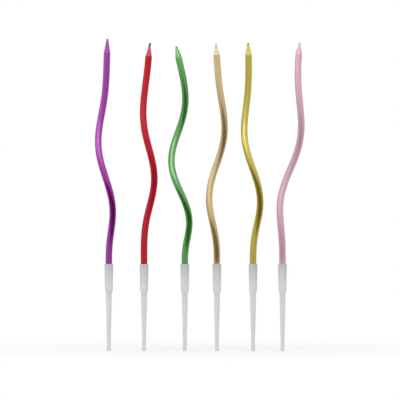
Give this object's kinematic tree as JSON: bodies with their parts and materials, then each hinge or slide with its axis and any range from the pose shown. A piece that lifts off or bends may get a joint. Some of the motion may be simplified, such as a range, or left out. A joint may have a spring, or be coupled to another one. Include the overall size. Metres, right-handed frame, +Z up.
{
  "type": "spiral birthday candle",
  "caption": "Row of thin spiral birthday candles with cotton wicks, each standing in a white plastic holder whose tapered spike pushes into a cake.",
  "frame": {"origin": "on the axis of the purple candle's holder, at the foot of its shoulder, where the top of the cake is when the spike is pushed right in", "axes": "+Z up along the holders' axes, +X along the row from the purple candle to the pink one"},
  "size_m": [0.109, 0.0127, 0.1624],
  "materials": {
    "holder_plastic": "moulded",
    "wick_cotton": "waxed",
    "purple_wax": "pearl lacquer over wax",
    "red_wax": "pearl lacquer over wax",
    "green_wax": "pearl lacquer over wax",
    "gold_wax": "pearl lacquer over wax",
    "yellow_wax": "pearl lacquer over wax",
    "pink_wax": "pearl lacquer over wax"
  },
  "bodies": {
    "holders": {"purple_holder": "holder_plastic", "red_holder": "holder_plastic", "green_holder": "holder_plastic", "gold_holder": "holder_plastic", "yellow_holder": "holder_plastic", "pink_holder": "holder_plastic"},
    "purple_candle": {"purple_wax": "purple_wax", "purple_wick": "wick_cotton"},
    "red_candle": {"red_wax": "red_wax", "red_wick": "wick_cotton"},
    "green_candle": {"green_wax": "green_wax", "green_wick": "wick_cotton"},
    "gold_candle": {"gold_wax": "gold_wax", "gold_wick": "wick_cotton"},
    "yellow_candle": {"yellow_wax": "yellow_wax", "yellow_wick": "wick_cotton"},
    "pink_candle": {"pink_wax": "pink_wax", "pink_wick": "wick_cotton"}
  },
  "joints": [
    {"name": "purple_pull", "type": "slide", "parent": "holders", "child": "purple_candle", "axis": [0, 0, 1], "range_m": [0, 0.012]},
    {"name": "red_pull", "type": "slide", "parent": "holders", "child": "red_candle", "axis": [0, 0, 1], "range_m": [0, 0.012]},
    {"name": "green_pull", "type": "slide", "parent": "holders", "child": "green_candle", "axis": [0, 0, 1], "range_m": [0, 0.012]},
    {"name": "gold_pull", "type": "slide", "parent": "holders", "child": "gold_candle", "axis": [0, 0, 1], "range_m": [0, 0.012]},
    {"name": "yellow_pull", "type": "slide", "parent": "holders", "child": "yellow_candle", "axis": [0, 0, 1], "range_m": [0, 0.012]},
    {"name": "pink_pull", "type": "slide", "parent": "holders", "child": "pink_candle", "axis": [0, 0, 1], "range_m": [0, 0.012]}
  ]
}
